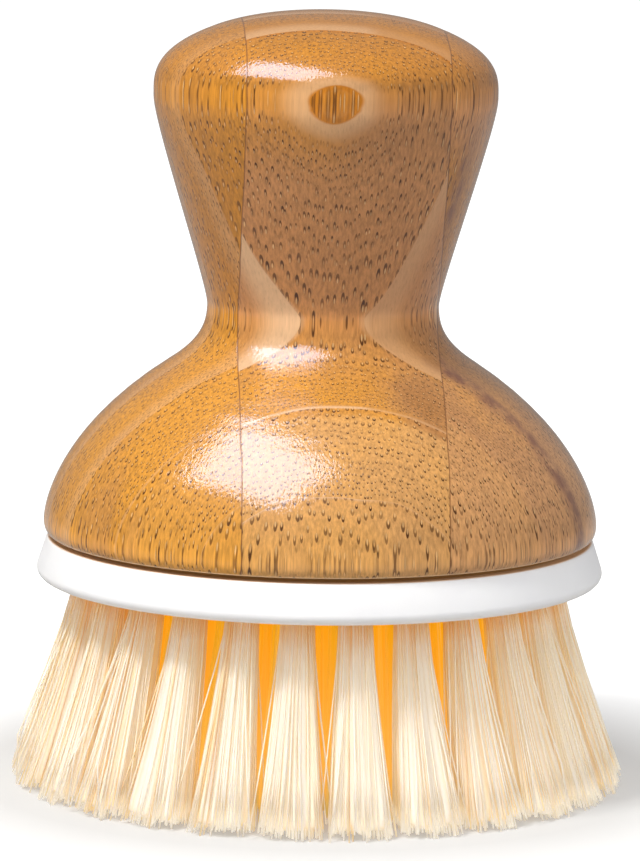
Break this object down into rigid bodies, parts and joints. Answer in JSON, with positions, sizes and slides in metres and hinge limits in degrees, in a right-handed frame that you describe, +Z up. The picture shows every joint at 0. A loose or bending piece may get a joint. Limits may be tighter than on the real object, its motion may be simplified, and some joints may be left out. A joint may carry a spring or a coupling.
{
  "type": "dish brush",
  "caption": "Round palm brush with a turned bamboo knob handle, a white moulded bristle plate and splayed tufts of cream and amber bristles, standing on its tips.",
  "frame": {"origin": "on the axis of the brush, in the plane of the bristle tips", "axes": "+Z up along the axis towards the knob, front of the picture along -Y"},
  "size_m": [0.084, 0.084, 0.1047],
  "materials": {
    "bamboo": "gloss lacquer on turned laminated bamboo",
    "white_plastic": "satin moulded",
    "cream_bristle": "fine drawn filament",
    "amber_bristle": "fine drawn filament",
    "steel": "zinc plated"
  },
  "bodies": {
    "root": {"handle": "bamboo", "bristle_plate": "white_plastic", "fixing_screw": "steel", "tuft_anchors": "steel", "outer_tuft_1": "cream_bristle", "outer_tuft_2": "cream_bristle", "outer_tuft_3": "cream_bristle", "outer_tuft_4": "cream_bristle", "outer_tuft_5": "cream_bristle", "outer_tuft_6": "cream_bristle", "outer_tuft_7": "cream_bristle", "outer_tuft_8": "cream_bristle", "outer_tuft_9": "cream_bristle", "outer_tuft_10": "cream_bristle", "outer_tuft_11": "cream_bristle", "outer_tuft_12": "cream_bristle", "outer_tuft_13": "cream_bristle", "outer_tuft_14": "cream_bristle", "outer_tuft_15": "cream_bristle", "outer_tuft_16": "cream_bristle", "outer_tuft_17": "cream_bristle", "outer_tuft_18": "cream_bristle", "outer_tuft_19": "cream_bristle", "outer_tuft_20": "cream_bristle", "outer_tuft_21": "cream_bristle", "outer_tuft_22": "cream_bristle", "outer_tuft_23": "cream_bristle", "outer_tuft_24": "cream_bristle", "outer_tuft_25": "cream_bristle", "outer_tuft_26": "cream_bristle", "second_tuft_1": "amber_bristle", "second_tuft_2": "amber_bristle", "second_tuft_3": "amber_bristle", "second_tuft_4": "amber_bristle", "second_tuft_5": "amber_bristle", "second_tuft_6": "amber_bristle", "second_tuft_7": "amber_bristle", "second_tuft_8": "amber_bristle", "second_tuft_9": "amber_bristle", "second_tuft_10": "amber_bristle", "second_tuft_11": "amber_bristle", "second_tuft_12": "amber_bristle", "second_tuft_13": "amber_bristle", "second_tuft_14": "amber_bristle", "second_tuft_15": "amber_bristle", "second_tuft_16": "amber_bristle", "second_tuft_17": "amber_bristle", "second_tuft_18": "amber_bristle", "second_tuft_19": "amber_bristle", "second_tuft_20": "amber_bristle", "second_tuft_21": "amber_bristle", "third_row_tufts": "amber_bristle", "fourth_row_tufts": "amber_bristle", "fifth_row_tufts": "amber_bristle"}
  },
  "joints": []
}
